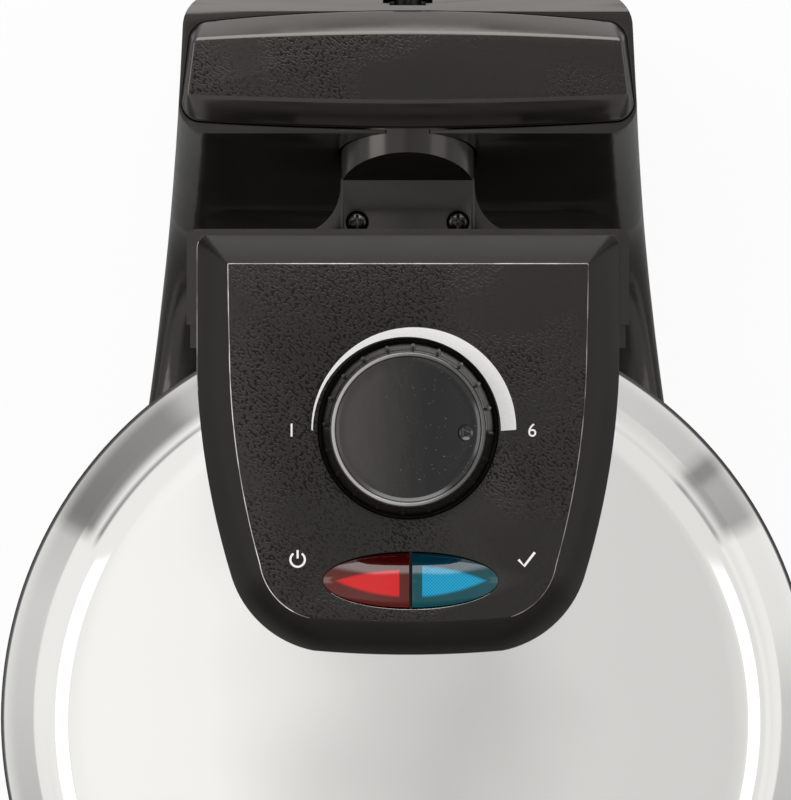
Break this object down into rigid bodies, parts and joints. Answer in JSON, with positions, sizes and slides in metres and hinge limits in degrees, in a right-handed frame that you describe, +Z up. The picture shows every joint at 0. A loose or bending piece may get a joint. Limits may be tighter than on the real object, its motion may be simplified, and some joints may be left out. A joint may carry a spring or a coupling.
{
  "type": "belgian waffle maker",
  "caption": "Flip-over belgian waffle maker: round polished clamshell head turning in a rear tower, dial panel on the lid, folding grip and drip tray.",
  "frame": {"origin": "middle of the cooker's outline at the table, without the lead", "axes": "+Z up, front handle towards -Y, tower towards +Y, +X to the right"},
  "size_m": [0.2202, 0.5525, 0.209],
  "materials": {
    "black_plastic": "moulded, satin gloss",
    "black_textured": "moulded with a leather grain",
    "phenolic": "heat-proof moulded, matte",
    "polished_steel": "mirror polished",
    "cast_plate": "non-stick coated die casting",
    "heater_tube": "dull sheathed tube",
    "reflector_sheet": "bright rolled sheet",
    "steel": "plated",
    "screw_black": "blackened",
    "red_lens": "clear moulded, red",
    "blue_lens": "clear moulded, blue",
    "lamp_glass": "clear",
    "rubber": "moulded",
    "lead_jacket": "extruded",
    "brass": "plain",
    "bearing_plastic": "natural acetal"
  },
  "bodies": {
    "base": {"base_shell": "black_plastic", "tower_cap": "black_textured", "bottom_plate": "phenolic", "tray_runner": "phenolic", "rubber_feet": "rubber", "front_bush": "bearing_plastic", "rear_bush": "bearing_plastic", "flip_stop_ring": "steel", "strain_relief": "rubber", "lead": "lead_jacket", "lead_coil": "lead_jacket", "plug": "lead_jacket", "plug_blades": "brass"},
    "drip_tray": {"drip_tray": "black_plastic"},
    "head": {"hinge_carrier": "black_plastic", "hinge_screws": "screw_black", "hinge_pin": "steel", "shaft_clip": "steel", "lower_ring": "phenolic", "lower_cover": "polished_steel", "lower_waffle_plate": "cast_plate", "lower_heater": "heater_tube", "lower_reflector": "reflector_sheet", "handle_bracket": "phenolic", "handle_pin": "steel"},
    "lid": {"upper_ring": "phenolic", "lid_cover": "polished_steel", "upper_waffle_plate": "cast_plate", "upper_heater": "heater_tube", "upper_reflector": "reflector_sheet", "panel_housing": "black_plastic", "control_panel": "black_textured", "power_lens": "red_lens", "ready_lens": "blue_lens", "power_lamp": "lamp_glass", "ready_lamp": "lamp_glass", "thermostat": "steel", "lid_handle": "black_plastic"},
    "knob": {"dial_knob": "black_plastic"},
    "handle": {"flip_handle": "black_plastic"}
  },
  "joints": [
    {"name": "head_flip", "type": "hinge", "parent": "base", "child": "head", "pos_m": [0, 0.146, 0.145], "axis": [0, 1, 0], "range_deg": [0, 180]},
    {"name": "lid_open", "type": "hinge", "parent": "head", "child": "lid", "pos_m": [0, 0.107, 0.166], "axis": [1, 0, 0], "range_deg": [-100, 0]},
    {"name": "knob_turn", "type": "hinge", "parent": "lid", "child": "knob", "pos_m": [0, 0.0645, 0.2], "axis": [0, 0, 1], "range_deg": [0, 180]},
    {"name": "handle_fold", "type": "hinge", "parent": "head", "child": "handle", "pos_m": [0, -0.134, 0.136], "axis": [1, 0, 0], "range_deg": [0, 90]},
    {"name": "tray_slide", "type": "slide", "parent": "base", "child": "drip_tray", "axis": [0, -1, 0], "range_m": [0, 0.15]}
  ]
}
